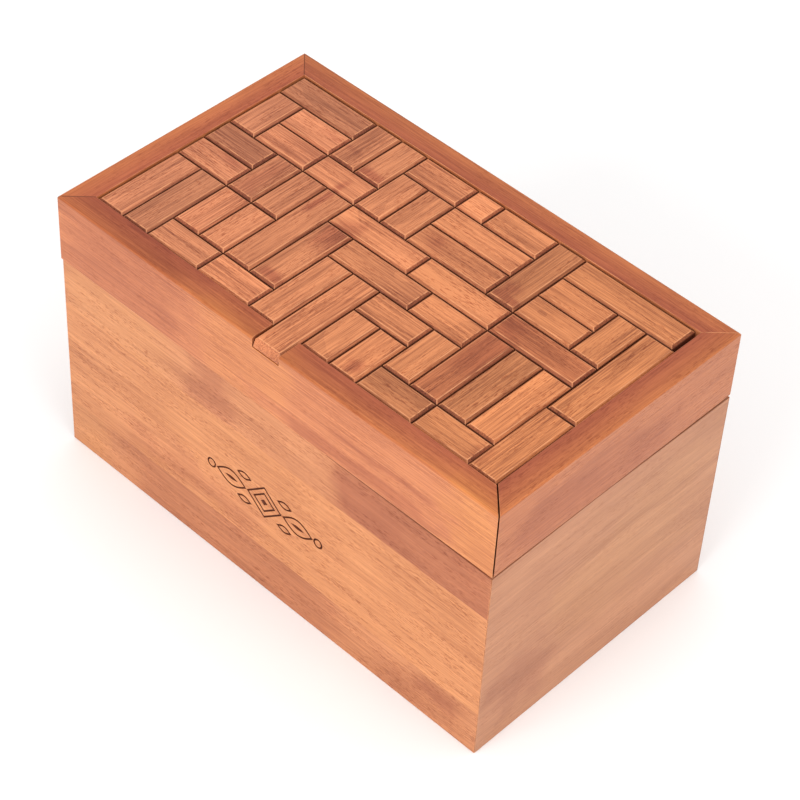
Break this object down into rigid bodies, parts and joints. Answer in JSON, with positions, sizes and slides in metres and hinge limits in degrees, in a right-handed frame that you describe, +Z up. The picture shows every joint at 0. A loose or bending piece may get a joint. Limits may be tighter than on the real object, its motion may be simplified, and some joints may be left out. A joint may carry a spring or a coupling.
{
  "type": "wooden puzzle box",
  "caption": "Hinged wooden box with a mosaic of blocks on its lid, a key block that pulls out through the front rail, and hooked latch bars under the lid.",
  "frame": {"origin": "middle of the footprint, hinge knuckles included, on the surface that the box stands on", "axes": "+X to the right along the box, +Y towards the hinges at the back, +Z up; the front faces -Y"},
  "size_m": [0.2154, 0.1282, 0.124],
  "materials": {
    "wall_wood": "satin",
    "rail_wood": "satin",
    "block_wood": "satin",
    "panel_wood": "satin",
    "latch_wood": "satin",
    "hinge_brass": "polished",
    "screw_steel": "polished"
  },
  "bodies": {
    "box": {"front_wall": "wall_wood", "rear_wall": "wall_wood", "left_wall": "wall_wood", "right_wall": "wall_wood", "bottom_panel": "panel_wood", "hinge_base_leaf_left": "hinge_brass", "hinge_base_leaf_right": "hinge_brass", "hinge_pins": "hinge_brass", "base_hinge_screws": "screw_steel"},
    "lid": {"lid_front_rail": "rail_wood", "lid_rear_rail": "rail_wood", "lid_left_rail": "rail_wood", "lid_right_rail": "rail_wood", "lid_deck": "panel_wood", "lid_inner_panel": "panel_wood", "hinge_lid_leaf_left": "hinge_brass", "hinge_lid_leaf_right": "hinge_brass", "lid_hinge_screws": "screw_steel", "block_a01": "block_wood", "blocks_a04_a05": "block_wood", "block_a06": "block_wood", "block_a08": "block_wood", "block_a09": "block_wood", "block_a11": "block_wood", "block_a12": "block_wood", "block_b01": "block_wood", "blocks_b02_c02": "block_wood", "block_c04": "block_wood", "blocks_b06_b07": "block_wood", "blocks_b08_c08": "block_wood", "blocks_b12_c12": "block_wood", "block_b14": "block_wood", "block_b15": "block_wood", "blocks_d01_e01": "block_wood", "blocks_d03_d04": "block_wood", "block_d05": "block_wood", "block_d06": "block_wood", "block_d09": "block_wood", "block_d12": "block_wood", "block_e06": "block_wood", "block_e07": "block_wood", "block_e10": "block_wood", "block_e12": "block_wood", "block_e13": "block_wood", "block_e14": "block_wood", "block_f01": "block_wood", "block_f02": "block_wood", "blocks_f03_f04": "block_wood", "block_f07": "block_wood", "block_f09": "block_wood", "block_f11": "block_wood", "block_f15": "block_wood", "blocks_g09_g10": "block_wood", "block_h03": "block_wood", "block_h05": "block_wood", "block_h11": "block_wood", "block_h13": "block_wood"},
    "key": {"key_block": "block_wood"},
    "left_latch": {"latch_left": "latch_wood"},
    "right_latch": {"latch_right": "latch_wood"}
  },
  "joints": [
    {"name": "lid_hinge", "type": "hinge", "parent": "box", "child": "lid", "pos_m": [0, 0.06235, 0.09375], "axis": [-1, 0, 0], "range_deg": [0, 95]},
    {"name": "key_slide", "type": "slide", "parent": "lid", "child": "key", "axis": [0, -1, 0], "range_m": [0, 0.013]},
    {"name": "left_latch_slide", "type": "slide", "parent": "lid", "child": "left_latch", "axis": [0, -1, 0], "range_m": [0, 0.013]},
    {"name": "right_latch_slide", "type": "slide", "parent": "lid", "child": "right_latch", "axis": [0, -1, 0], "range_m": [0, 0.013]}
  ]
}
